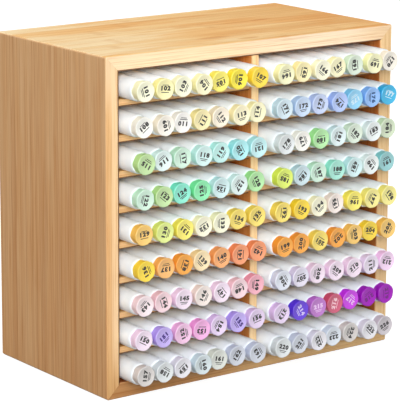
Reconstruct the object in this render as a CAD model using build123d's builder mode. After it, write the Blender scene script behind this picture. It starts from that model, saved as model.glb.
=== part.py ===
from build123d import *
import os

os.makedirs("parts", exist_ok=True)

# A desk rack of bamboo boards: a mitred case, an upright divider, and nine rows of
# compartments on each side of it. Each compartment holds a row of alcohol markers that
# lie on a shelf with their coloured ends out.
# X runs along the front from left to right, +Y towards the back, +Z up. The origin is the
# middle of the case's underside. Sizes are in millimetres. Row 1 is the top row.

# Boards
panel_thickness = 11
divider_thickness = 6
shelf_thickness = 5
back_thickness = 5
rack_depth = 138
row_count = 9

# Joints between the boards
shelf_setback = 3  # from the front of the case to the shelves and to the stopped grooves
side_groove_depth = 3
divider_groove_depth = 2
divider_tongue = 3
rebate_width = 5
board_clearance = 0.2  # left at the end of a shelf's groove and round the back panel
spline_thickness = 3
spline_width = 9
spline_clearance = 0.3
spline_inset = 4.6  # from the mitre's inner corner, along each board
spline_stop = 14  # solid wood left at each end of a spline's slot
corner_easing = 1.2
edge_easing = 0.8
shelf_easing = 0.5

# Markers
markers_per_row = 7
marker_length = 150
marker_diameter = 15.8
marker_gap = 0.4  # to the next marker, and to the wall beside the row
rest_gap = 0.3  # under each marker, and behind the ones pushed fully in
finger_space = 3.9
cap_length = 44
cap_sides = 12
cap_seam = 0.1
barrel_sides = 8
plug_length = 7
plug_sides = 6
plug_bevel = 0.6
plug_angle_per_row = 31  # degrees
plug_angle_per_marker = 47  # degrees
cap_rim = 0.1  # white rim left beside the corners of a plug

# How far single markers are drawn out: a few even steps in a scattered order
right_bay_pull = 2  # all markers on the right stand this much further out
pull_step = 0.5
pull_steps = 8
pull_stride = 3
pull_row_stride = 5

# Sizes set by the markers
bay_width = markers_per_row * (marker_diameter + marker_gap) + marker_gap
row_height = rest_gap + marker_diameter + finger_space
row_pitch = row_height + shelf_thickness
barrel_length = marker_length - plug_length - cap_length - cap_seam
plug_radius = marker_diameter / 2 - cap_rim

# Sizes set by the boards
inner_width = 2 * bay_width + divider_thickness
inner_height = row_count * row_pitch - shelf_thickness
rack_height = inner_height + 2 * panel_thickness
front_y = -rack_depth / 2
back_y = rack_depth / 2
back_panel_y = back_y - back_thickness
shelf_front_y = front_y + shelf_setback
shelf_depth = back_panel_y - shelf_front_y
shelf_middle_y = (back_panel_y + shelf_front_y) / 2
middle_z = rack_height / 2

# Each side's name, its direction from the divider and how far its markers are pulled out
bays = [("left", -1, 0), ("right", 1, right_bay_pull)]


def row_floor(row):
    """Height of the surface that a row of markers lies on."""
    return panel_thickness + (row_count - row) * row_pitch


def flat_side_down(sides):
    """Turn that lays one side of a regular polygon level at its bottom, in degrees."""
    return 180 / sides - 90


shelf_tops = [row_floor(row) for row in range(1, row_count)]
groove_places = [top - shelf_thickness / 2 - middle_z for top in shelf_tops]


def mitred_panel(section, inner_length, grooves, groove_width, groove_depth):
    """One board of the case. Its section plane lies at the back end, on the board's inner
    face, with X along the board and Y outwards. Grooves are given by their place along X."""
    half = inner_length / 2
    tip = panel_thickness - corner_easing / 2
    with BuildPart() as panel:
        with BuildSketch(section):
            with BuildLine():
                Polyline(
                    (half, 0),
                    (half + tip, tip),
                    (half + panel_thickness - corner_easing, panel_thickness),
                    (-half - panel_thickness + corner_easing, panel_thickness),
                    (-half - tip, tip),
                    (-half, 0),
                    close=True,
                )
            make_face()
        extrude(amount=rack_depth)
        front_edges = panel.faces().sort_by(Axis.Y)[0].edges()
        chamfer(front_edges.filter_by(Axis(section.origin, section.x_dir)), edge_easing)

        # Rebate that the back panel drops into
        with BuildSketch(section):
            Rectangle(
                inner_length + 2 * rebate_width,
                rebate_width,
                align=(Align.CENTER, Align.MIN),
            )
        extrude(amount=back_thickness, mode=Mode.SUBTRACT)

        # Grooves for the boards that end here, stopped short of the front
        with BuildSketch(section):
            with Locations(*[(place, 0) for place in grooves]):
                Rectangle(groove_width, groove_depth, align=(Align.CENTER, Align.MIN))
        extrude(amount=rack_depth - shelf_setback, mode=Mode.SUBTRACT)

        # Half of the slot for each mitre's spline
        with BuildSketch(section.offset(spline_stop)):
            for end in (-1, 1):
                with Locations(Location((end * (half + spline_inset), spline_inset, 0), -45 * end)):
                    Rectangle(spline_width + spline_clearance, spline_thickness)
        extrude(amount=rack_depth - 2 * spline_stop, mode=Mode.SUBTRACT)
    return panel


# The mitred case
top_section = Plane(
    origin=(0, back_y, rack_height - panel_thickness), x_dir=(1, 0, 0), z_dir=(0, -1, 0)
)
bottom_section = Plane(origin=(0, back_y, panel_thickness), x_dir=(-1, 0, 0), z_dir=(0, -1, 0))
left_section = Plane(
    origin=(-inner_width / 2, back_y, middle_z), x_dir=(0, 0, 1), z_dir=(0, -1, 0)
)
right_section = Plane(
    origin=(inner_width / 2, back_y, middle_z), x_dir=(0, 0, -1), z_dir=(0, -1, 0)
)

for name, section in [("top_panel", top_section), ("bottom_panel", bottom_section)]:
    panel = mitred_panel(section, inner_width, [0], divider_thickness, divider_tongue)
    panel.part.label = name
    export_step(panel.part, f"parts/{name}.step")

for name, section in [("left_side_panel", left_section), ("right_side_panel", right_section)]:
    panel = mitred_panel(section, inner_height, groove_places, shelf_thickness, side_groove_depth)
    panel.part.label = name
    export_step(panel.part, f"parts/{name}.step")

# Splines glued across the four mitres
with BuildPart() as mitre_splines:
    for side in (-1, 1):
        for level in (-1, 1):
            corner = Plane(
                origin=(
                    side * (inner_width / 2 + spline_inset),
                    back_y - spline_stop,
                    middle_z + level * (inner_height / 2 + spline_inset),
                ),
                x_dir=(side, 0, -level),
                z_dir=(0, -1, 0),
            )
            with BuildSketch(corner):
                Rectangle(spline_width, spline_thickness)
            extrude(amount=rack_depth - 2 * spline_stop)
mitre_splines.part.label = "mitre_splines"
export_step(mitre_splines.part, "parts/mitre_splines.step")

# Back panel, let into the rebate all round
with BuildPart() as back_panel:
    with BuildSketch(Plane.XZ.offset(-back_y)):
        with Locations((0, middle_z)):
            Rectangle(
                inner_width + 2 * (rebate_width - board_clearance),
                inner_height + 2 * (rebate_width - board_clearance),
            )
    extrude(amount=back_thickness)
back_panel.part.label = "back_panel"
export_step(back_panel.part, "parts/back_panel.step")

# Centre divider: flush with the front, with a tongue behind it at the top and bottom
with BuildPart() as centre_divider:
    with BuildSketch(Plane.YZ.offset(-divider_thickness / 2)):
        with Locations((back_panel_y, middle_z)):
            Rectangle(back_panel_y - front_y, inner_height, align=(Align.MAX, Align.CENTER))
            Rectangle(
                shelf_depth,
                inner_height + 2 * divider_tongue,
                align=(Align.MAX, Align.CENTER),
            )
    extrude(amount=divider_thickness)
    for side in (-1, 1):
        face = Plane(
            origin=(side * divider_thickness / 2, shelf_middle_y, middle_z),
            x_dir=(0, 1, 0),
            z_dir=(-side, 0, 0),
        )
        with BuildSketch(face):
            with Locations(*[(0, place) for place in groove_places]):
                Rectangle(shelf_depth, shelf_thickness)
        extrude(amount=divider_groove_depth, mode=Mode.SUBTRACT)
centre_divider.part.label = "centre_divider"
export_step(centre_divider.part, "parts/centre_divider.step")

# Shelves, housed in the grooves of a side panel and of the divider
for bay, side, pull in bays:
    outer_end = side * (inner_width / 2 + side_groove_depth - board_clearance)
    inner_end = side * (divider_thickness / 2 - divider_groove_depth + board_clearance)
    for number, top in enumerate(shelf_tops, start=1):
        with BuildPart() as shelf:
            with BuildSketch(Plane.XY.offset(top - shelf_thickness)):
                with Locations(((outer_end + inner_end) / 2, shelf_middle_y)):
                    Rectangle(abs(outer_end - inner_end), shelf_depth)
            extrude(amount=shelf_thickness)
            front = shelf.faces().sort_by(Axis.Y)[0]
            chamfer(front.edges().filter_by(Axis.X), shelf_easing)
        shelf.part.label = f"shelf_{bay}_{number}"
        export_step(shelf.part, f"parts/shelf_{bay}_{number}.step")

# Markers: a barrel and a cap for each, and the coloured plug that closes the cap.
# Some stand a little further out than others, and the plugs are turned every way.
for bay, side, pull in bays:
    bay_start = side * (divider_thickness + bay_width) / 2 - bay_width / 2
    for row in range(1, row_count + 1):
        barrel_ends = []
        for slot in range(markers_per_row):
            scatter = side * slot
            steps_out = (pull_stride * scatter * (scatter + row) + pull_row_stride * row) % pull_steps
            drawn_out = pull + pull_step * steps_out
            middle = (
                bay_start + marker_gap + marker_diameter / 2 + slot * (marker_diameter + marker_gap),
                back_panel_y - rest_gap - drawn_out,
                row_floor(row) + rest_gap + marker_diameter / 2,
            )
            barrel_ends.append(Plane(origin=middle, x_dir=(1, 0, 0), z_dir=(0, -1, 0)))
        cap_ends = [end.offset(barrel_length + cap_seam) for end in barrel_ends]

        with BuildPart() as markers:
            with BuildSketch(*barrel_ends):
                RegularPolygon(
                    marker_diameter / 2,
                    barrel_sides,
                    major_radius=False,
                    rotation=flat_side_down(barrel_sides),
                )
            extrude(amount=barrel_length)
            with BuildSketch(*cap_ends):
                RegularPolygon(
                    marker_diameter / 2,
                    cap_sides,
                    major_radius=False,
                    rotation=flat_side_down(cap_sides),
                )
            extrude(amount=cap_length)
        markers.part.label = f"markers_{bay}_{row}"
        export_step(markers.part, f"parts/markers_{bay}_{row}.step")

        with BuildPart() as plugs:
            for slot, end in enumerate(cap_ends):
                angle = plug_angle_per_row * row + plug_angle_per_marker * side * slot
                with BuildSketch(end.offset(cap_length)):
                    RegularPolygon(plug_radius, plug_sides, rotation=angle)
            extrude(amount=plug_length)
            front_edges = [plug.faces().sort_by(Axis.Y)[0].edges() for plug in plugs.solids()]
            chamfer([edge for edges in front_edges for edge in edges], plug_bevel)
        plugs.part.label = f"marker_plugs_{bay}_{row}"
        export_step(plugs.part, f"parts/marker_plugs_{bay}_{row}.step")
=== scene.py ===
"""The looks of a bamboo desk rack full of alcohol markers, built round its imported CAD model.

Metres, in the CAD model's frame: X along the front from left to right, +Y towards the back and +Z up.
Row 1 is the top row, and slots count from the left. The boards keep their CAD shapes and get bamboo
finishes. Each compartment's seven markers get rounder barrels, caps and plugs, and numbers on the plugs.
"""

import colorsys
import math

import bmesh
import bpy
from mathutils import Matrix, Vector


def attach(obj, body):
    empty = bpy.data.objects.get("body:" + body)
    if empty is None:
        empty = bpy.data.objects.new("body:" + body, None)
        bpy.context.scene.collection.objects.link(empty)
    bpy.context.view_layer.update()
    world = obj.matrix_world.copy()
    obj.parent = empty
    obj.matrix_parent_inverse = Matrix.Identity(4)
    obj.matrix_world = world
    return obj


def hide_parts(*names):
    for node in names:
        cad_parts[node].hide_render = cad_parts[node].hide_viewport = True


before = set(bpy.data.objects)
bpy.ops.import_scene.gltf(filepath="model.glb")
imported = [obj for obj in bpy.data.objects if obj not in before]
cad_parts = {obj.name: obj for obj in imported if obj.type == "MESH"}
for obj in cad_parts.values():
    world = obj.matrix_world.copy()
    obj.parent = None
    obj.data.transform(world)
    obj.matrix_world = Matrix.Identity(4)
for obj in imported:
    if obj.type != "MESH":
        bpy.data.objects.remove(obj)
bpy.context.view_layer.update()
MM = 0.001

# Sizes of the CAD model's boards and markers
DIVIDER = 6 * MM
FLOOR_OF_LOWEST_ROW = 11 * MM
ROW_PITCH = 25 * MM
ROW_COUNT = 9
SLOTS = 7
MARKER_RADIUS = 7.9 * MM
MARKER_GAP = 0.4 * MM
REST_GAP = 0.3 * MM
BAY_WIDTH = SLOTS * (2 * MARKER_RADIUS + MARKER_GAP) + MARKER_GAP
BACK_PANEL = 64 * MM
CAP_END = 143 * MM

# How far single markers are drawn out, and how their plugs and numbers are turned, in degrees
BAY_PULL = {"left": 0, "right": 2 * MM}
PULL_STEP = 0.5 * MM
PULL_STEPS = 8
PULL_STRIDE = 3
PULL_ROW_STRIDE = 5
TURN_PER_ROW = 31
TURN_PER_SLOT = 47
TURN_PER_NUMBER = 67

BAYS = {"left": -1, "right": 1}

# Where the boards' planed front edges end, the room inside the case, and two of the faces round it
CASE_EDGE_END = -68.2 * MM
SHELF_EDGE_END = -65.2 * MM
INSIDE_HALF_WIDTH = 117 * MM
INSIDE_HALF_HEIGHT = 110.2 * MM
MIDDLE_HEIGHT = 121 * MM
INSIDE_BACK = 64.2 * MM
TOP_PANEL_UNDERSIDE = 231 * MM
LEFT_PANEL_INNER_FACE = -116.8 * MM

# The undersides of the shelves lie whole row pitches above this height
SHELF_UNDERSIDES = 6 * MM

# A marker's white body: a thin first slice that widens, and then the outline of a tail cap, a slimmer
# barrel and a cap with a rounded lip. Outlines are places along the marker, each with a radius
TAIL_SLICE = 0.7 * MM
TAIL_RADIUS = 6.3 * MM
SHOULDER_RADIUS = 7.5 * MM
BARREL_RADIUS = 7.3 * MM
BODY_OUTLINE = [
    (1.7 * MM, MARKER_RADIUS),
    (43.4 * MM, MARKER_RADIUS),
    (44 * MM, BARREL_RADIUS),
    (98.2 * MM, BARREL_RADIUS),
    (98.6 * MM, MARKER_RADIUS),
    (CAP_END - 1.6 * MM, MARKER_RADIUS),
    (CAP_END - 0.6 * MM, 7.7 * MM),
    (CAP_END, 7.2 * MM),
    (CAP_END, 6.2 * MM),
]

# A plug: a hexagon with soft corners, drawn out in two lengths, each with its roundness, into a disc
# with a rounded rim and a shallow ring
PLUG_SIDES = 6
PLUG_BASE_RADIUS = 7.75 * MM
PLUG_BASE = 0.8 * MM
PLUG_CORNER = 2.2 * MM
PLUG_LENGTHS = [(2.4 * MM, 0.45), (2.9 * MM, 1)]
DISC_START = 6.1 * MM
DISC_RADIUS = 7.4 * MM
DISC_OUTLINE = [
    (6.65 * MM, 7.35 * MM),
    (6.95 * MM, 7.05 * MM),
    (6.95 * MM, 6.3 * MM),
    (6.8 * MM, 6.1 * MM),
]

# The print on a plug's disc: a number, a long rule under it, and a short rule under that or, on every
# third number, above it. A rule has a height above the disc's middle, a length and a width
FIRST_NUMBER = 101
NUMBER_HEIGHT = 4.1 * MM
NUMBER_BOLDNESS = 0.26 * MM
NUMBER_SPACING = 1.2
NUMBER_STRETCH = 1.2
NUMBER_LIFT = 0.6 * MM
PRINT_THICKNESS = 0.1 * MM
PRINT_PLACE = 6.82 * MM
LONG_RULE = (-2.1 * MM, 6.4 * MM, 0.5 * MM)
SHORT_RULE_BELOW = (-3.2 * MM, 4.8 * MM, 0.45 * MM)
SHORT_RULE_ABOVE = (2.9 * MM, 4.8 * MM, 0.45 * MM)
NUMBERS_PER_RULE_ABOVE = 3

# The range of inks: each family's hue in degrees and its brightness, and how deep each strength is
INK_FAMILIES = {
    "lemon": (58, 0.98),
    "yellow": (54, 0.99),
    "gold": (49, 0.99),
    "amber": (40, 0.98),
    "orange": (33, 0.98),
    "tangerine": (27, 0.98),
    "coral": (20, 0.98),
    "rose": (345, 0.98),
    "pink": (315, 0.98),
    "orchid": (303, 0.98),
    "lilac": (278, 0.97),
    "violet": (257, 0.97),
    "indigo": (255, 0.86),
    "periwinkle": (222, 0.97),
    "blue": (214, 0.97),
    "sky": (201, 0.96),
    "cerulean": (197, 0.9),
    "cyan": (184, 0.95),
    "teal": (183, 0.82),
    "aqua": (174, 0.96),
    "turquoise": (165, 0.93),
    "mint": (142, 0.94),
    "green": (110, 0.92),
    "leaf": (92, 0.9),
    "lime": (68, 0.94),
    "sage": (92, 0.9),
    "mist": (195, 0.92),
    "ice": (214, 0.97),
    "pearl": (250, 0.95),
    "steel": (222, 0.9),
    "stone": (20, 0.86),
    "slate": (300, 0.82),
    "crimson": (345, 0.82),
    "mauve": (290, 0.82),
    "magenta": (290, 0.92),
    "purple": (291, 0.74),
}
INK_DEPTHS = {
    "faint": 0.03,
    "pale": 0.07,
    "light": 0.12,
    "soft": 0.18,
    "mild": 0.26,
    "mid": 0.38,
    "full": 0.52,
    "strong": 0.68,
    "deep": 0.88,
}

# The inks of each compartment's seven markers, from left to right, in the range's words
MARKER_INKS = {
    ("left", 1): "light_lemon mild_yellow light_lemon soft_yellow full_yellow strong_yellow strong_gold",
    ("left", 2): "faint_yellow pale_amber faint_amber mild_gold light_amber soft_gold soft_yellow",
    ("left", 3): "mild_leaf pale_aqua light_mint light_aqua soft_aqua mild_cyan soft_cyan",
    ("left", 4): "light_mint mild_leaf mid_turquoise mid_mint light_cyan pale_aqua mild_green",
    ("left", 5): "full_amber mid_lime full_yellow light_yellow light_lemon full_gold full_gold",
    ("left", 6): "strong_gold full_orange strong_orange mild_amber full_tangerine full_coral full_coral",
    ("left", 7): "pale_rose light_rose pale_orchid pale_coral pale_orchid light_rose mild_rose",
    ("left", 8): "pale_orchid mild_violet soft_pink mild_pink light_lilac mild_violet light_lilac",
    ("left", 9): "faint_stone faint_mist faint_pearl pale_mist faint_sage pale_steel pale_steel",
    ("right", 1): "soft_lemon mild_gold light_yellow soft_yellow pale_green soft_lemon pale_amber",
    ("right", 2): "light_sky soft_blue soft_periwinkle mild_periwinkle mid_sky mid_blue strong_cerulean",
    ("right", 3): "faint_mist faint_yellow mild_green pale_cyan pale_green faint_aqua light_sage",
    ("right", 4): "full_lime light_mist light_mint mild_turquoise light_cyan faint_aqua mild_teal",
    ("right", 5): "full_gold strong_gold light_yellow pale_coral full_yellow mid_yellow mid_yellow",
    ("right", 6): "strong_orange strong_orange full_gold strong_orange full_amber strong_gold full_amber",
    ("right", 7): "pale_periwinkle pale_violet pale_orchid pale_orchid pale_orchid pale_lilac light_orchid",
    ("right", 8): "light_lilac strong_indigo mid_mauve full_crimson strong_magenta deep_purple deep_purple",
    ("right", 9): "faint_mist pale_steel faint_pearl pale_ice faint_stone faint_pearl faint_slate",
}

# The print is black. On inks deeper than this, it is a pale or a dark shade of the ink in these families
SHADED_PRINT_DEPTH = 0.25
PALE_PRINT = "sky cerulean indigo mauve crimson magenta".split()
DARK_PRINT = "blue violet purple".split()
BLACK_PRINT = (0, 0.02, 0.17)

# The wood's tones, from deep to pale
TOP_TONES = ("E1AA60", "F2CA8B", "FAE1B2")
# The sides are the same bamboo as the top in darker tones: a painted shade of the side faces
SIDE_TONES_WITH_PAINTED_SHADE = ("BE8C5E", "D3A372", "E0B788")
BOTTOM_TONES = ("8C5A34", "C08C5A", "EAC290")
DIVIDER_TONES = ("D99A58", "EBB77A", "F6CE98")
BACK_TONES = ("D49C5C", "E6B87C", "F2CE9A")

# What the plastic is darkened with in faint clouds
CLOUD_SHADE = "F0EFEC"

# What the wood is darkened with
BAND_SHADE = "F7DDB4"
SMUDGE_SHADE = "E4BC80"
# A painted shade for the faces inside the case
PAINTED_INSIDE_SHADE = "E6B888"
# A painted shadow for the lines on the arrises that look into the compartments
PAINTED_ARRIS_SHADOW = "6A4630"
FIBRE_SHADE = "D8B07A"
GLUE_SHADE = "B98A58"
KNUCKLE_SHADE = "DCB070"

# The make of the boards: the widths of their strips, the plies of the case (three to a board), the glue
# lines, the easing of a planed edge into the face, and how far apart a cane's knuckles are
WIDE_STRIP = 20 * MM
CASE_STRIP = 19 * MM
NARROW_STRIP = 6.5 * MM
CASE_PLY = 3.67 * MM
GLUE_LINE = 0.25 * MM
EDGE_EASING = 0.7 * MM
KNUCKLE_SPACING = 230 * MM

# The spacing of the painted shadow lines on an arris is so wide here that a board gets only one
SINGLE_LINE = 2

# Smudges on the top, in its middle and towards the front: a place along the grain and across it, a
# length, a width and a depth
TOP_SMUDGES = [
    (-52 * MM, -2 * MM, 30 * MM, 5 * MM, 0.5),
    (-8 * MM, 8 * MM, 22 * MM, 6 * MM, 0.5),
    (-18 * MM, -43 * MM, 34 * MM, 12 * MM, 0.55),
    (2 * MM, -58 * MM, 20 * MM, 7 * MM, 0.6),
    (62 * MM, 6 * MM, 22 * MM, 6 * MM, 0.5),
    (-84 * MM, 6 * MM, 40 * MM, 4 * MM, 0.4),
]


# Colours


def linear(shares):
    """Red, green and blue as they show on a screen, as linear red, green, blue and alpha."""
    return [
        share / 12.92 if share <= 0.04045 else ((share + 0.055) / 1.055) ** 2.4 for share in shares
    ] + [1]


def colour(code):
    """A colour written as six hexadecimal digits, as linear red, green, blue and alpha."""
    return linear([int(code[place : place + 2], 16) / 255 for place in (0, 2, 4)])


def ink_shades(ink):
    """The shades of a plug's disc, of its wall and of its print, from the name of its ink. Each is
    worked out as a hue, a depth and a brightness, and the wall is a little deeper than the disc: a
    painted shade of the plug's sides."""
    strength, family = ink.split("_")
    depth = INK_DEPTHS[strength]
    angle, brightness = INK_FAMILIES[family]
    hue = angle / 360
    disc = (hue, depth, brightness)
    wall = (hue, min(1, 1.15 * depth**0.85), brightness)
    stamp = BLACK_PRINT
    if depth > SHADED_PRINT_DEPTH and family in PALE_PRINT:
        stamp = (hue, 0.14, 0.97)
    if depth > SHADED_PRINT_DEPTH and family in DARK_PRINT:
        stamp = (hue, 0.75, 0.5)
    return [linear(colorsys.hsv_to_rgb(*shade)) for shade in (disc, wall, stamp)]


# Shader nodes


def new_material(name):
    """A new node material, with its tree and its main shader."""
    material = bpy.data.materials.new(name)
    material.use_nodes = True
    return material, material.node_tree, material.node_tree.nodes["Principled BSDF"]


def add_node(tree, kind, inputs=None, **settings):
    """Adds a node. Each input is set to a value or joined to another node's socket."""
    made = tree.nodes.new("ShaderNode" + kind)
    for key, value in settings.items():
        setattr(made, key, value)
    for key, value in (inputs or {}).items():
        if isinstance(value, bpy.types.NodeSocket):
            tree.links.new(value, made.inputs[key])
        else:
            made.inputs[key].default_value = value
    return made


def calculate(tree, operation, first, second=0.0, third=0.0):
    """The result of one arithmetic step."""
    return add_node(tree, "Math", {0: first, 1: second, 2: third}, operation=operation).outputs[0]


def remap(tree, value, low, high, to_low, to_high):
    """A value eased from one range to another, and held within it."""
    return add_node(
        tree,
        "MapRange",
        {0: value, 1: low, 2: high, 3: to_low, 4: to_high},
        interpolation_type="SMOOTHSTEP",
    ).outputs[0]


def stretched_noise(tree, axes, scales, offset, detail, roughness):
    """Noise over three coordinates, each with a scale of its own, shifted by an offset."""
    place = add_node(
        tree,
        "CombineXYZ",
        {index: calculate(tree, "MULTIPLY_ADD", axes[index], scales[index], offset) for index in range(3)},
    )
    noise = add_node(
        tree,
        "TexNoise",
        {"Vector": place.outputs[0], "Scale": 1, "Detail": detail, "Roughness": roughness},
    )
    return noise.outputs["Fac"]


def mixed(tree, first, second, amount, blend_type="MIX"):
    """Two colours mixed, as far as the amount goes."""
    inputs = {"Factor": amount, 6: first, 7: second}
    return add_node(tree, "Mix", inputs, data_type="RGBA", blend_type=blend_type).outputs[2]


def tint(tree, base, shade, amount):
    """A colour multiplied by a shade, as far as the amount goes."""
    return mixed(tree, base, colour(shade), amount, "MULTIPLY")


def seen_from_camera(tree):
    """A value that is 1 for what the camera, a gloss or a clear material shows, and 0 for light."""
    path = add_node(tree, "LightPath").outputs
    seen = calculate(tree, "MAXIMUM", path["Is Camera Ray"], path["Is Glossy Ray"])
    return calculate(tree, "MAXIMUM", seen, path["Is Transmission Ray"])


# Bamboo


def coordinate(axes, letter):
    """The coordinate along an axis, from its letter."""
    return axes["XYZ".index(letter)]


def cane_strips(tree, across, through, strip_width, ply, seed):
    """The strips of a laminated board, counted across it, and three draws for each strip of each ply."""
    ply_number = calculate(tree, "FLOOR", calculate(tree, "MULTIPLY_ADD", through, 1 / ply, 0.02))
    shifted = calculate(tree, "MULTIPLY_ADD", ply_number, 0.37, seed)
    strips = calculate(tree, "MULTIPLY_ADD", across, 1 / strip_width, shifted)
    strip_number = calculate(tree, "FLOOR", strips)
    cell = add_node(tree, "CombineXYZ", {0: strip_number, 1: ply_number, 2: seed}).outputs[0]
    chance = add_node(tree, "TexWhiteNoise", {"Vector": cell}, noise_dimensions="3D")
    return strips, add_node(tree, "SeparateColor", {0: chance.outputs["Color"]}).outputs


def smudge_depth(tree, along, across, blur, smudge):
    """How deep one smudge of the grain is at a point: strong in its middle, and nothing outside."""
    middle, side, length, width, depth = smudge
    run = calculate(tree, "MULTIPLY", calculate(tree, "SUBTRACT", along, middle), 2 / length)
    rise = calculate(tree, "MULTIPLY", calculate(tree, "SUBTRACT", across, side), 2 / width)
    square = calculate(tree, "MULTIPLY_ADD", run, run, calculate(tree, "MULTIPLY", rise, rise))
    return remap(tree, calculate(tree, "MULTIPLY_ADD", blur, 1.6, square), 0.75, 1.9, depth, 0)


def front_edge_tone(tree, axes, shade, fades):
    """The tone of a planed front edge, which fades to other tones along its axes."""
    tone = colour(shade)
    for letter, start, end, far_shade in fades:
        faded = remap(tree, coordinate(axes, letter), start, end, 0, 1)
        tone = mixed(tree, tone, colour(far_shade), faded)
    return tone


def depth_inside(tree, axes, edge_end):
    """How far a point lies within the room inside the case: less than 0 outside it."""
    sideways = calculate(tree, "SUBTRACT", INSIDE_HALF_WIDTH, calculate(tree, "ABSOLUTE", axes[0]))
    height_off = calculate(tree, "ABSOLUTE", calculate(tree, "SUBTRACT", axes[2], MIDDLE_HEIGHT))
    upwards = calculate(tree, "SUBTRACT", INSIDE_HALF_HEIGHT, height_off)
    forwards = calculate(tree, "SUBTRACT", axes[1], edge_end)
    backwards = calculate(tree, "SUBTRACT", INSIDE_BACK, axes[1])
    room = calculate(tree, "MINIMUM", sideways, upwards)
    room = calculate(tree, "MINIMUM", room, forwards)
    return calculate(tree, "MINIMUM", room, backwards)


def arris_depth(tree, axes, edge_end, arris):
    """How dark the painted shadow line is along a front edge's arris that looks into the compartments."""
    letter, start, spacing, width = arris
    apart = calculate(tree, "SUBTRACT", coordinate(axes, letter), start)
    apart = calculate(tree, "PINGPONG", apart, spacing / 2)
    line = remap(tree, apart, width - 0.3 * MM, width + 0.1 * MM, 0.9, 0)
    front = remap(tree, axes[1], edge_end, edge_end + 0.3 * MM, 1, 0)
    return calculate(tree, "MULTIPLY", line, front)


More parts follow.
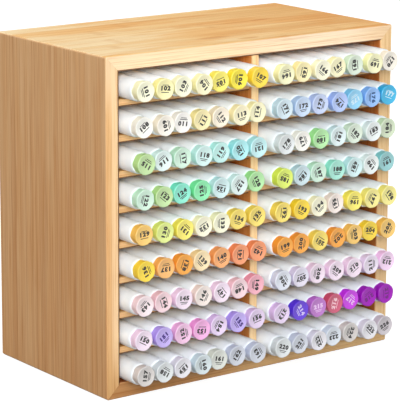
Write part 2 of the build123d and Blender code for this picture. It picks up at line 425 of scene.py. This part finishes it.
def bamboo(
    name,
    grain,
    tones,
    strip_width,
    ply,
    seed,
    contrast=1,
    amber=0.5,
    knuckles=0.3,
    drift=0,
    figure=(0.7, 170, 90),
    smudges=(),
    inside=1,
    edge_shade="FBDCA8",
    edge_end=CASE_EDGE_END,
    edge_fades=(),
    arris=None,
):
    """Laminated bamboo: strips glued edge to edge and in plies, with fibres, glue lines and knuckles.

    grain: the axes along the strips, across them and through the plies
    tones: the wood's deep, middle and pale tone
    strip_width, ply: how wide the strips are, and how thick the plies are
    seed: sets where the strips and bands of this board fall
    contrast: how much the strips differ in tone
    amber, knuckles, inside: how deep the bands, the knuckles and the painted shade on the faces inside the
    case are
    drift: how much paler the wood gets with each metre along the grain
    figure: the weight of the streaks, and the fineness of the streaks and of the bands
    smudges: the darker smudges of the grain, laid out like those of the top
    edge_shade, edge_end: the tone of the planed front edge, and where it ends
    edge_fades: an axis, a start, an end and the tone that the front edge reaches there
    arris: an axis, a place, a spacing and a width for the painted shadow lines on the front edge's arris
    """
    material, tree, shader = new_material(name)
    place = add_node(tree, "TexCoord").outputs["Object"]
    axes = add_node(tree, "SeparateXYZ", {0: place}).outputs
    sides = [coordinate(axes, letter) for letter in grain]
    along, across, through = sides

    # Each strip of each ply has its own tone and its own place along the cane. The noises are drawn out
    # along the grain: their scales are waves per metre along it, across it and through the plies
    strips, draws = cane_strips(tree, across, through, strip_width, ply, seed)
    cane_draw, tone_draw, knuckle_draw = draws
    offset = calculate(tree, "MULTIPLY", cane_draw, 40)
    streaking, streak_scale, band_scale = figure
    fibres = stretched_noise(tree, sides, (14, 1300, 1300), offset, 3, 0.6)
    streaks = stretched_noise(tree, sides, (3, streak_scale, streak_scale), offset, 2, 0.5)
    clouds = stretched_noise(tree, sides, (5, 16, 16), 0, 2, 0.5)
    bands = stretched_noise(tree, sides, (9, band_scale, band_scale), seed, 3, 0.6)

    # The tone runs from 0.3 for the deepest wood to 1.25 for the palest
    tone = calculate(tree, "MULTIPLY", tone_draw, 0.42 * contrast)
    streak_tone = calculate(tree, "MULTIPLY_ADD", streaks, streaking, 0.35 - 0.5 * streaking)
    tone = calculate(tree, "ADD", tone, streak_tone)
    tone = calculate(tree, "MULTIPLY_ADD", clouds, 0.3, tone)
    tone = calculate(tree, "MULTIPLY_ADD", fibres, 0.3, tone)
    tone = calculate(tree, "MULTIPLY_ADD", along, drift, tone)
    ramp = add_node(tree, "ValToRGB", {0: remap(tree, tone, 0.3, 1.25, 0, 1)})
    elements = ramp.color_ramp.elements
    elements[0].color = colour(tones[0])
    elements[1].color = colour(tones[2])
    elements.new(0.5).color = colour(tones[1])
    wood = ramp.outputs[0]

    # Wavy bands and smudges of a deeper amber
    wood = tint(tree, wood, BAND_SHADE, remap(tree, bands, 0.4, 0.62, 0, amber))
    smudged = 0.0
    for smudge in smudges:
        depth = smudge_depth(tree, along, across, streaks, smudge)
        smudged = calculate(tree, "MAXIMUM", smudged, depth)
    wood = tint(tree, wood, SMUDGE_SHADE, smudged)

    # The planed front edge is paler than the face, and the faces inside the rack get a deeper painted shade
    planed = remap(tree, axes[1], edge_end - EDGE_EASING, edge_end, 0.75, 0)
    wood = mixed(tree, wood, front_edge_tone(tree, axes, edge_shade, edge_fades), planed)
    room = depth_inside(tree, axes, edge_end)
    wood = tint(tree, wood, PAINTED_INSIDE_SHADE, remap(tree, room, 0, 0.2 * MM, 0, inside))
    # A painted shadow: a dark line along the arris that looks into the compartments
    if arris:
        wood = tint(tree, wood, PAINTED_ARRIS_SHADOW, arris_depth(tree, axes, edge_end, arris))

    # Darker fibres, a faint glue line between strips, and a knuckle now and then across a strip
    fine = remap(tree, fibres, 0.32, 0.52, 1, 0)
    wood = tint(tree, wood, FIBRE_SHADE, calculate(tree, "MULTIPLY", fine, 0.5))
    joint_off = calculate(tree, "MULTIPLY", calculate(tree, "PINGPONG", strips, 0.5), strip_width)
    glue = remap(tree, joint_off, 0, GLUE_LINE, 0.3, 0)
    wood = tint(tree, wood, GLUE_SHADE, glue)
    shift = calculate(tree, "MULTIPLY", knuckle_draw, 9)
    cane = calculate(tree, "MULTIPLY_ADD", along, 1 / KNUCKLE_SPACING, shift)
    cane = calculate(tree, "MULTIPLY_ADD", fibres, 0.012, cane)
    knuckle = remap(tree, calculate(tree, "PINGPONG", cane, 0.5), 0, 0.03, knuckles, 0)
    knuckle = calculate(tree, "MULTIPLY", knuckle, remap(tree, streaks, 0.4, 0.6, 0.2, 1))
    knuckle = calculate(tree, "MULTIPLY", knuckle, calculate(tree, "SUBTRACT", 1.0, planed))
    wood = tint(tree, wood, KNUCKLE_SHADE, knuckle)

    height = calculate(tree, "MULTIPLY_ADD", glue, -0.8, fibres)
    bump = add_node(tree, "Bump", {"Strength": 0.25, "Distance": 0.12 * MM, "Height": height})
    shader.inputs["Specular IOR Level"].default_value = 0.2
    tree.links.new(wood, shader.inputs["Base Color"])
    tree.links.new(remap(tree, fibres, 0.2, 0.8, 0.74, 0.62), shader.inputs["Roughness"])
    tree.links.new(bump.outputs[0], shader.inputs["Normal"])
    return material


def finish_board(name, material):
    """Gives a carried-over board its finish."""
    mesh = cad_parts[name].data
    mesh.materials.clear()
    mesh.materials.append(material)


case_top = bamboo(
    "bamboo_top",
    "XYZ",
    TOP_TONES,
    CASE_STRIP,
    CASE_PLY,
    seed=0.3,
    contrast=0.7,
    amber=0.8,
    drift=-2,
    figure=(0.4, 130, 50),
    smudges=TOP_SMUDGES,
    inside=0.2,
    edge_shade="FCE3C0",
    edge_fades=[("X", -60 * MM, 60 * MM, "FDEDD4"), ("X", 80 * MM, 120 * MM, "FBE2BE")],
    # A painted shadow line along the lower arris of the top's front edge
    arris=("Z", TOP_PANEL_UNDERSIDE, SINGLE_LINE, 1.1 * MM),
)
case_bottom_painted_shade = bamboo(
    "bamboo_bottom",
    "XYZ",
    BOTTOM_TONES,
    CASE_STRIP,
    CASE_PLY,
    seed=0.9,
    amber=0.8,
    knuckles=0.5,
    figure=(0.9, 420, 160),
    # A dark brown front edge, a painted shade under the lowest row of markers, paler towards the right
    edge_shade="B98452",
    edge_fades=[("X", -90 * MM, 80 * MM, "FFD69A")],
)
case_left = bamboo(
    "bamboo_left_side",
    "ZYX",
    SIDE_TONES_WITH_PAINTED_SHADE,
    NARROW_STRIP,
    CASE_PLY,
    seed=1.7,
    contrast=0.4,
    amber=0.3,
    knuckles=0.05,
    # Paler upwards along the grain, so the side is darker towards the bottom: a painted shade
    drift=0.8,
    figure=(0.55, 300, 160),
    inside=0.2,
    edge_shade="ECBC82",
    edge_fades=[
        ("X", -124.6 * MM, -122.2 * MM, "F9D7A8"),
        ("Z", 190 * MM, 242 * MM, "FADEB4"),
        ("Z", 50 * MM, 0, "DCAE74"),
    ],
    # A painted shadow line along the inner arris of the left side's front edge
    arris=("X", LEFT_PANEL_INNER_FACE, SINGLE_LINE, 1.5 * MM),
)
case_right = bamboo(
    "bamboo_right_side",
    "ZYX",
    SIDE_TONES_WITH_PAINTED_SHADE,
    NARROW_STRIP,
    CASE_PLY,
    seed=6.1,
    contrast=0.4,
    amber=0.35,
    knuckles=0.05,
    # Paler upwards along the grain, so the side is darker towards the bottom: a painted shade
    drift=0.8,
    figure=(0.55, 300, 160),
    edge_shade="F9D8A4",
)
upright = bamboo(
    "bamboo_divider",
    "ZYX",
    DIVIDER_TONES,
    WIDE_STRIP,
    3 * MM,
    seed=2.1,
    knuckles=0.2,
)
shelving = bamboo(
    "bamboo_shelves",
    "XYZ",
    TOP_TONES,
    WIDE_STRIP,
    2.5 * MM,
    seed=3.4,
    contrast=0.6,
    knuckles=0.2,
    inside=0,
    edge_shade="E6BA86",
    edge_end=SHELF_EDGE_END,
    # A painted shadow line along the lower arris of each shelf's front edge
    arris=("Z", SHELF_UNDERSIDES, ROW_PITCH, 1 * MM),
)
backing = bamboo(
    "bamboo_back",
    "XZY",
    BACK_TONES,
    WIDE_STRIP,
    5 * MM,
    seed=4.6,
    contrast=0.7,
    figure=(0.5, 170, 60),
    inside=0.2,
)
spline_wood = bamboo("bamboo_splines", "YXZ", SIDE_TONES_WITH_PAINTED_SHADE, 6 * MM, 3 * MM, seed=5.2)

finish_board("top_panel", case_top)
finish_board("bottom_panel", case_bottom_painted_shade)
finish_board("left_side_panel", case_left)
finish_board("right_side_panel", case_right)
finish_board("centre_divider", upright)
finish_board("back_panel", backing)
finish_board("mitre_splines", spline_wood)
for bay in BAYS:
    for number in range(1, ROW_COUNT):
        finish_board(f"shelf_{bay}_{number}", shelving)


# Modelling by hand


def clear_selection():
    """Deselects every object."""
    bpy.ops.object.select_all(action="DESELECT")


def start_cylinder(vertices, radius, depth):
    """A cylinder along the marker, with its back end at the origin, open in edit mode."""
    clear_selection()
    bpy.ops.mesh.primitive_cylinder_add(
        vertices=vertices,
        radius=radius,
        depth=depth,
        location=(0, -depth / 2, 0),
        rotation=(math.radians(90), 0, 0),
    )
    piece = bpy.context.object
    bpy.ops.object.transform_apply(location=True, rotation=True, scale=True)
    bpy.ops.object.mode_set(mode="EDIT")
    return piece


def front_face(face):
    """True for the many-sided face that closes the front of a piece."""
    return face.normal.y < -0.9 and len(face.verts) > 4


def select_front_face(piece):
    """In edit mode, selects only the front face."""
    bpy.ops.mesh.select_mode(type="FACE")
    bpy.ops.mesh.select_all(action="DESELECT")
    mesh = bmesh.from_edit_mesh(piece.data)
    for face in mesh.faces:
        face.select_set(front_face(face))
    bmesh.update_edit_mesh(piece.data)


def select_long_edges(piece, least):
    """In edit mode, selects only the edges that run along the marker for more than a length."""
    bpy.ops.mesh.select_mode(type="EDGE")
    bpy.ops.mesh.select_all(action="DESELECT")
    mesh = bmesh.from_edit_mesh(piece.data)
    for edge in mesh.edges:
        edge.select_set(abs(edge.verts[0].co.y - edge.verts[1].co.y) > least)
    bmesh.update_edit_mesh(piece.data)


def widen(share, place):
    """Widens the selected front face by a share, at its place along the marker."""
    bpy.ops.transform.resize(value=(share, 1, share), center_override=(0, -place, 0))


def draw_out(place, radius, outline):
    """Extrudes the selected front face along an outline of (place along the marker, radius)."""
    for next_place, next_radius in outline:
        bpy.ops.mesh.extrude_region_move(TRANSFORM_OT_translate={"value": (0, place - next_place, 0)})
        widen(next_radius / radius, next_place)
        place = next_place
        radius = next_radius


def model_white_body():
    """A marker's barrel, tail cap and front cap, with its tail at the origin and its front along -Y."""
    body = start_cylinder(24, TAIL_RADIUS, TAIL_SLICE)
    select_front_face(body)
    widen(SHOULDER_RADIUS / TAIL_RADIUS, TAIL_SLICE)
    draw_out(TAIL_SLICE, SHOULDER_RADIUS, BODY_OUTLINE)
    bpy.ops.object.mode_set(mode="OBJECT")
    bpy.ops.object.shade_smooth_by_angle(angle=math.radians(40))
    return body


def model_plug():
    """A cap's plug: a hexagon with soft corners at the cap, and a round disc at its front."""
    plug = start_cylinder(PLUG_SIDES, PLUG_BASE_RADIUS, PLUG_BASE)
    select_long_edges(plug, PLUG_BASE / 2)
    bpy.ops.mesh.bevel(offset=PLUG_CORNER, segments=3, affect="EDGES")

    # Each length that the front is drawn out by leaves it rounder
    select_front_face(plug)
    for length, roundness in PLUG_LENGTHS:
        bpy.ops.mesh.extrude_region_move(TRANSFORM_OT_translate={"value": (0, -length, 0)})
        bpy.ops.transform.tosphere(value=roundness)

    # Bring the round front to the disc's radius, and give it its rim and its ring
    bpy.ops.object.mode_set(mode="OBJECT")
    front = [v.co for v in plug.data.vertices if v.co.y < -DISC_START + 0.1 * MM]
    reach = max(math.hypot(point.x, point.z) for point in front)
    bpy.ops.object.mode_set(mode="EDIT")
    select_front_face(plug)
    widen(DISC_RADIUS / reach, DISC_START)
    draw_out(DISC_START, DISC_RADIUS, DISC_OUTLINE)
    bpy.ops.object.mode_set(mode="OBJECT")
    bpy.ops.object.shade_smooth_by_angle(angle=math.radians(38))
    return plug


def joined(pieces, name):
    """Joins pieces into one, which stays at the origin."""
    clear_selection()
    for piece in pieces:
        piece.select_set(True)
    bpy.context.view_layer.objects.active = pieces[0]
    bpy.ops.object.join()
    whole = bpy.context.object
    whole.name = name
    whole.data.name = name
    return whole


def model_rule(height, length, width):
    """A thin rule at a height above the middle of the print."""
    clear_selection()
    bpy.ops.mesh.primitive_cube_add(size=1, location=(0, height, 0))
    rule = bpy.context.object
    rule.scale = (length, width, PRINT_THICKNESS)
    bpy.ops.object.transform_apply(location=True, rotation=True, scale=True)
    return rule


def model_print(number):
    """A printed number with two thin rules, as a mesh on the plane y = 0."""
    clear_selection()
    bpy.ops.object.text_add()
    digits = bpy.context.object
    digits.data.body = str(number)
    digits.data.align_x = "CENTER"
    digits.data.align_y = "CENTER"
    digits.data.size = NUMBER_HEIGHT
    digits.data.offset = NUMBER_BOLDNESS
    digits.data.extrude = PRINT_THICKNESS / 2
    digits.data.resolution_u = 2
    digits.data.space_character = NUMBER_SPACING
    bpy.ops.object.convert(target="MESH")
    digits.data.transform(Matrix.Diagonal((NUMBER_STRETCH, 1, 1, 1)))
    digits.data.transform(Matrix.Translation((0, NUMBER_LIFT, 0)))

    short_rule = SHORT_RULE_ABOVE if number % NUMBERS_PER_RULE_ABOVE == 0 else SHORT_RULE_BELOW
    stamp = joined([digits, model_rule(*LONG_RULE), model_rule(*short_rule)], "print")
    stamp.data.transform(Matrix.Rotation(math.radians(90), 4, "X"))
    bpy.ops.object.mode_set(mode="EDIT")
    bpy.ops.mesh.select_all(action="SELECT")
    bpy.ops.mesh.remove_doubles(threshold=0.001 * MM)
    bpy.ops.mesh.normals_make_consistent(inside=False)
    bpy.ops.object.mode_set(mode="OBJECT")
    return stamp


def copy_to(piece, place):
    """A copy of a finished shape, with a mesh of its own, moved by a matrix."""
    copied = piece.copy()
    copied.data = piece.data.copy()
    copied.data.transform(place)
    bpy.context.scene.collection.objects.link(copied)
    return copied


def paint(piece, choose):
    """Stores a colour on each face corner, chosen from the face's normal."""
    layer = piece.data.color_attributes.new("ink", "FLOAT_COLOR", "CORNER")
    for face in piece.data.polygons:
        shade = choose(face.normal)
        for corner in face.loop_indices:
            layer.data[corner].color = shade


# Markers


def plastic(name, roughness, base="FFFFFF", attribute=None):
    """Moulded plastic with a fine satin grain and faint clouds. Its colour is the base, or comes from
    an attribute of the mesh."""
    material, tree, shader = new_material(name)
    place = add_node(tree, "TexCoord").outputs["Object"]
    flow = add_node(tree, "TexNoise", {"Vector": place, "Scale": 60, "Detail": 2}).outputs["Fac"]
    grain = add_node(tree, "TexNoise", {"Vector": place, "Scale": 4200, "Detail": 2}).outputs["Fac"]
    start = colour(base)
    if attribute:
        start = add_node(tree, "Attribute", attribute_name=attribute).outputs["Color"]
    shaded = tint(tree, start, CLOUD_SHADE, remap(tree, flow, 0.35, 0.65, 0.45, 0))
    satin = remap(tree, grain, 0.3, 0.7, roughness - 0.05, roughness + 0.06)
    bump = add_node(tree, "Bump", {"Strength": 0.06, "Distance": 0.03 * MM, "Height": grain})
    tree.links.new(shaded, shader.inputs["Base Color"])
    tree.links.new(satin, shader.inputs["Roughness"])
    tree.links.new(bump.outputs[0], shader.inputs["Normal"])
    return material


def tail_place(bay, row, slot):
    """Where the middle of a marker's tail lies."""
    side = BAYS[bay]
    bay_start = side * (DIVIDER + BAY_WIDTH) / 2 - BAY_WIDTH / 2
    scatter = side * slot
    steps_out = (PULL_STRIDE * scatter * (scatter + row) + PULL_ROW_STRIDE * row) % PULL_STEPS
    return Vector(
        (
            bay_start + MARKER_GAP + MARKER_RADIUS + slot * (2 * MARKER_RADIUS + MARKER_GAP),
            BACK_PANEL - REST_GAP - BAY_PULL[bay] - PULL_STEP * steps_out,
            FLOOR_OF_LOWEST_ROW + (ROW_COUNT - row) * ROW_PITCH + REST_GAP + MARKER_RADIUS,
        )
    )


def turned(degrees):
    """A turn about the marker's own line."""
    return Matrix.Rotation(-math.radians(degrees), 4, "Y")


white = plastic("white_marker_plastic", roughness=0.36, base="F5FBFF")
coloured = plastic("coloured_plug_plastic", roughness=0.4, attribute="ink")
print_ink = plastic("printed_number_ink", roughness=0.5, attribute="ink")

white_body = model_white_body()
white_body.data.materials.append(white)
plug_shape = model_plug()
plug_shape.data.materials.append(coloured)

number = FIRST_NUMBER
for bay, side in BAYS.items():
    for row in range(1, ROW_COUNT + 1):
        bodies = []
        plugs = []
        prints = []
        for slot, ink in enumerate(MARKER_INKS[bay, row].split()):
            tail = tail_place(bay, row, slot)
            disc_shade, painted_wall_shade, print_shade = ink_shades(ink)
            bodies.append(copy_to(white_body, Matrix.Translation(tail)))

            seat = Matrix.Translation(tail + Vector((0, -CAP_END, 0)))
            turn = turned(TURN_PER_ROW * row + TURN_PER_SLOT * side * slot)
            plug = copy_to(plug_shape, seat @ turn)
            # The plug's sides get the deeper wall shade, a painted shade; the front gets the disc's shade
            paint(plug, lambda normal: disc_shade if normal.y < -0.5 else painted_wall_shade)
            plugs.append(plug)

            stamp = model_print(number)
            stamp.data.materials.append(print_ink)
            face = Matrix.Translation(tail + Vector((0, -CAP_END - PRINT_PLACE, 0)))
            stamp.data.transform(face @ turned((number * TURN_PER_NUMBER) % 360))
            paint(stamp, lambda normal: print_shade)
            prints.append(stamp)
            number += 1

        body = f"{bay}_row_{row}"
        whites = joined(bodies, f"white_markers_{bay}_{row}")
        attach(whites, body)
        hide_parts(f"markers_{bay}_{row}")
        colours = joined(plugs, f"coloured_plugs_{bay}_{row}")
        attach(colours, body)
        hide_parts(f"marker_plugs_{bay}_{row}")
        numbers = joined(prints, f"plug_numbers_{bay}_{row}")
        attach(numbers, body)

for pattern in (white_body, plug_shape):
    bpy.data.objects.remove(pattern)

# Floor and backdrop: white to the camera, with the rack's shadow, and plain in the light they give
FLOOR_IN_LIGHT = "6C6B68"
FLOOR_IN_VIEW = "A0A0A0"
FLOOR_GLOW = 0.84
WORLD_IN_LIGHT = 0.4
WORLD_IN_VIEW = 1

clear_selection()
bpy.ops.mesh.primitive_plane_add(size=30, location=(0, 0, 0))
floor = bpy.context.object
floor.name = "studio_floor"
floor_material, tree, shader = new_material("pale_studio_floor")
tree.nodes.remove(shader)
plain = add_node(tree, "BsdfDiffuse", {"Color": colour(FLOOR_IN_LIGHT)})
shaded = add_node(tree, "BsdfDiffuse", {"Color": colour(FLOOR_IN_VIEW)})
glow = add_node(tree, "Emission", {"Color": colour("FFFFFF"), "Strength": FLOOR_GLOW})
lifted = add_node(tree, "AddShader", {0: shaded.outputs[0], 1: glow.outputs[0]})
shown = add_node(
    tree,
    "MixShader",
    {0: seen_from_camera(tree), 1: plain.outputs[0], 2: lifted.outputs[0]},
)
tree.links.new(shown.outputs[0], tree.nodes["Material Output"].inputs["Surface"])
floor.data.materials.append(floor_material)

world = bpy.data.worlds.new("studio")
world.use_nodes = True
bpy.context.scene.world = world
tree = world.node_tree
background = tree.nodes["Background"]
background.inputs["Color"].default_value = (1, 1, 1, 1)
strength = remap(tree, seen_from_camera(tree), 0, 1, WORLD_IN_LIGHT, WORLD_IN_VIEW)
tree.links.new(strength, background.inputs["Strength"])

# Light: square soft boxes, each with its place, what it looks at, its watts and its grid's spread.
# The key light looks over the rack, so the upper rows get more of it than the lower ones
MIDDLE = (0, 0, 0.12)
OVER_THE_RACK = (0, 0, 0.36)
LAMP_SIZE = 1.0
LAMPS = {
    "key_light": ((-1.15, -1.5, 0.85), OVER_THE_RACK, 5.1, 64),
    "front_light": ((-0.45, -1.85, 0.85), MIDDLE, 6.8, 180),
    "back_light": ((-0.1, 1.55, 1.5), MIDDLE, 16, 180),
    "side_light": ((1.7, 0.35, 0.4), MIDDLE, 10, 180),
}
for name, (place, aim, watts, spread) in LAMPS.items():
    data = bpy.data.lights.new(name, "AREA")
    data.size = LAMP_SIZE
    data.energy = watts
    data.spread = math.radians(spread)
    lamp = bpy.data.objects.new(name, data)
    bpy.context.scene.collection.objects.link(lamp)
    lamp.location = place
    lamp.rotation_euler = (Vector(aim) - Vector(place)).to_track_quat("-Z", "Y").to_euler()

# Camera, set at the photograph's angle
data = bpy.data.cameras.new("camera")
data.lens = 204.5
data.sensor_width = 36
data.shift_y = -0.1
camera = bpy.data.objects.new("camera", data)
camera.location = (-0.9824, -1.3287, 0.4952)
camera.rotation_euler = [math.radians(angle) for angle in (77.955, -0.195, -36.514)]
bpy.context.scene.collection.objects.link(camera)
bpy.context.scene.camera = camera
bpy.context.scene.view_settings.view_transform = "Standard"
